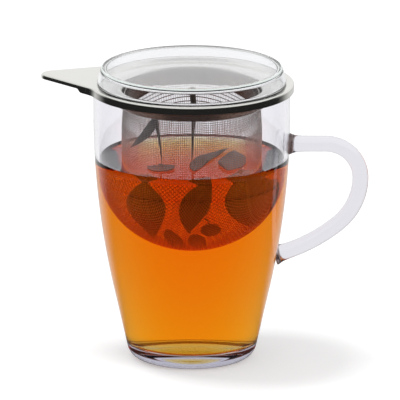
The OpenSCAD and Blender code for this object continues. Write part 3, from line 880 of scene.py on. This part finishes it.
# ---------------------------------------------------------------------------------------------------
# The studio: a white table and white surroundings, darker behind the camera, and two soft lamps.
floor_size = 6.0
floor_mesh = bpy.data.meshes.new("table")
corners = np.array([(-1, -1, 0), (1, -1, 0), (1, 1, 0), (-1, 1, 0)]) * floor_size / 2
floor_mesh.from_pydata(corners, [], [(0, 1, 2, 3)])
table_top = bpy.data.objects.new("table", floor_mesh)
bpy.context.scene.collection.objects.link(table_top)
floor_paint = bpy.data.materials.new("table")
floor_paint.use_nodes = True
floor_tree = floor_paint.node_tree
floor_surface = floor_tree.nodes["Principled BSDF"]
floor_surface.inputs["Base Color"].default_value = (0.8, 0.8, 0.8, 1)
floor_surface.inputs["Roughness"].default_value = 0.9
floor_surface.inputs["Specular IOR Level"].default_value = 0

# Seen directly, the table is white with the mug's shadow on it. Polished steel finds it dark except beyond
# the mug. Glass and tea find it white, and greyer towards the front.
floor_path = add(floor_tree, "ShaderNodeLightPath")
floor_glow = add(floor_tree, "ShaderNodeMath", {
    0: floor_path.outputs["Is Camera Ray"], 1: 0.42}, operation="MULTIPLY")
floor_light = add(floor_tree, "ShaderNodeEmission", {
    "Color": (1, 1, 1, 1), "Strength": floor_glow.outputs["Value"]})
floor_both = add(floor_tree, "ShaderNodeAddShader", {
    0: floor_surface.outputs["BSDF"], 1: floor_light.outputs["Emission"]})
floor_place = add(floor_tree, "ShaderNodeTexCoord")
floor_way = add(floor_tree, "ShaderNodeVectorMath", {0: floor_place.outputs["Object"]}, operation="NORMALIZE")
floor_spot = add(floor_tree, "ShaderNodeSeparateXYZ", {0: floor_way.outputs["Vector"]})
floor_near = add(floor_tree, "ShaderNodeMapRange", {
    "Value": floor_spot.outputs["Y"], "From Min": 0.35, "From Max": 0.8, "To Min": 1.0, "To Max": 0.0},
    interpolation_type="SMOOTHSTEP")
floor_hidden = add(floor_tree, "ShaderNodeMath", {
    0: floor_near.outputs["Result"], 1: floor_path.outputs["Is Glossy Ray"]}, operation="MULTIPLY")
floor_far = add(floor_tree, "ShaderNodeVectorMath", {0: floor_place.outputs["Object"]}, operation="LENGTH")
floor_close = add(floor_tree, "ShaderNodeMapRange", {
    "Value": floor_far.outputs["Value"], "From Min": 0.08, "From Max": 0.25, "To Min": 0.09, "To Max": 0.02})
floor_dark = add(floor_tree, "ShaderNodeEmission", {
    "Color": (1, 1, 1, 1), "Strength": floor_close.outputs["Result"]})
floor_shown = add(floor_tree, "ShaderNodeMixShader", {
    0: floor_hidden.outputs["Value"], 1: floor_both.outputs["Shader"], 2: floor_dark.outputs["Emission"]})
floor_through = add(floor_tree, "ShaderNodeMapRange", {
    "Value": floor_spot.outputs["Y"], "From Min": -0.9, "From Max": -0.5, "To Min": 0.3, "To Max": 1.0},
    interpolation_type="SMOOTHSTEP")
floor_white = add(floor_tree, "ShaderNodeEmission", {
    "Color": (1, 1, 1, 1), "Strength": floor_through.outputs["Result"]})
floor_final = add(floor_tree, "ShaderNodeMixShader", {
    0: floor_path.outputs["Is Transmission Ray"], 1: floor_shown.outputs["Shader"],
    2: floor_white.outputs["Emission"]})
floor_tree.links.new(floor_final.outputs["Shader"], floor_tree.nodes["Material Output"].inputs["Surface"])
floor_mesh.materials.append(floor_paint)

world = bpy.data.worlds.new("studio")
bpy.context.scene.world = world
world.use_nodes = True
world.cycles.sampling_method = "NONE"
sky = world.node_tree

# Seen directly, the surroundings are white. Steel mirrors them white overhead and beyond the mug, and dark
# behind the camera. Glass and tea find them dimmer towards the front.
sky_path = add(sky, "ShaderNodeLightPath")
sky_direction = add(sky, "ShaderNodeSeparateXYZ", {0: add(sky, "ShaderNodeTexCoord").outputs["Generated"]})
behind_object = add(sky, "ShaderNodeMapRange", {
    "Value": sky_direction.outputs["Y"], "From Min": 0.25, "From Max": 0.75, "To Min": 0.02, "To Max": 1.0},
    interpolation_type="SMOOTHSTEP")
overhead = add(sky, "ShaderNodeMapRange", {
    "Value": sky_direction.outputs["Z"], "From Min": 0.35, "From Max": 0.6, "To Min": 0.0, "To Max": 0.95},
    interpolation_type="SMOOTHSTEP")
mirrored = add(sky, "ShaderNodeMath", {
    0: behind_object.outputs["Result"], 1: overhead.outputs["Result"]}, operation="MAXIMUM")
diffuse_level = add(sky, "ShaderNodeMix", {
    "Factor": sky_path.outputs["Is Diffuse Ray"], "A": mirrored.outputs["Value"], "B": 0.55})
seen_through = add(sky, "ShaderNodeMapRange", {
    "Value": sky_direction.outputs["Y"], "From Min": -0.7, "From Max": 0.3, "To Min": 0.12, "To Max": 1.0},
    interpolation_type="SMOOTHSTEP")
through_level = add(sky, "ShaderNodeMix", {
    "Factor": sky_path.outputs["Is Transmission Ray"], "A": diffuse_level.outputs[0],
    "B": seen_through.outputs["Result"]})
sky_level = add(sky, "ShaderNodeMix", {
    "Factor": sky_path.outputs["Is Camera Ray"], "A": through_level.outputs[0], "B": 1.0})
sky.links.new(sky_level.outputs[0], sky.nodes["Background"].inputs["Strength"])
sky.nodes["Background"].inputs["Color"].default_value = (1, 1, 1, 1)


def soft_lamp(name, place, size, power):
    """A rectangular area lamp at a place, turned to look at the middle of the mug. Nothing mirrors it."""
    data = bpy.data.lights.new(name, "AREA")
    data.shape = "RECTANGLE"
    data.size, data.size_y = size
    data.energy = power
    made = bpy.data.objects.new(name, data)
    made.location = place
    made.visible_glossy = False
    made.visible_transmission = False
    toward = aim_point - np.array(place)
    made.rotation_euler = (math.pi - math.acos(toward[2] / np.linalg.norm(toward)), 0,
                           math.atan2(toward[1], toward[0]) - math.pi / 2)
    bpy.context.scene.collection.objects.link(made)
    return made


soft_lamp("lamp_above", (-0.32, 0.08, 1.35), (0.3, 0.3), 8)
soft_lamp("lamp_right", (0.9, -0.5, 0.6), (0.3, 0.8), 2)

# Light crosses many walls of glass, tea and cloth before it is lost.
scene = bpy.context.scene
scene.view_settings.view_transform = "Standard"
scene.cycles.max_bounces = 32
scene.cycles.transmission_bounces = 28
scene.cycles.glossy_bounces = 8
scene.cycles.transparent_max_bounces = 32
scene.cycles.caustics_reflective = False
scene.cycles.caustics_refractive = True
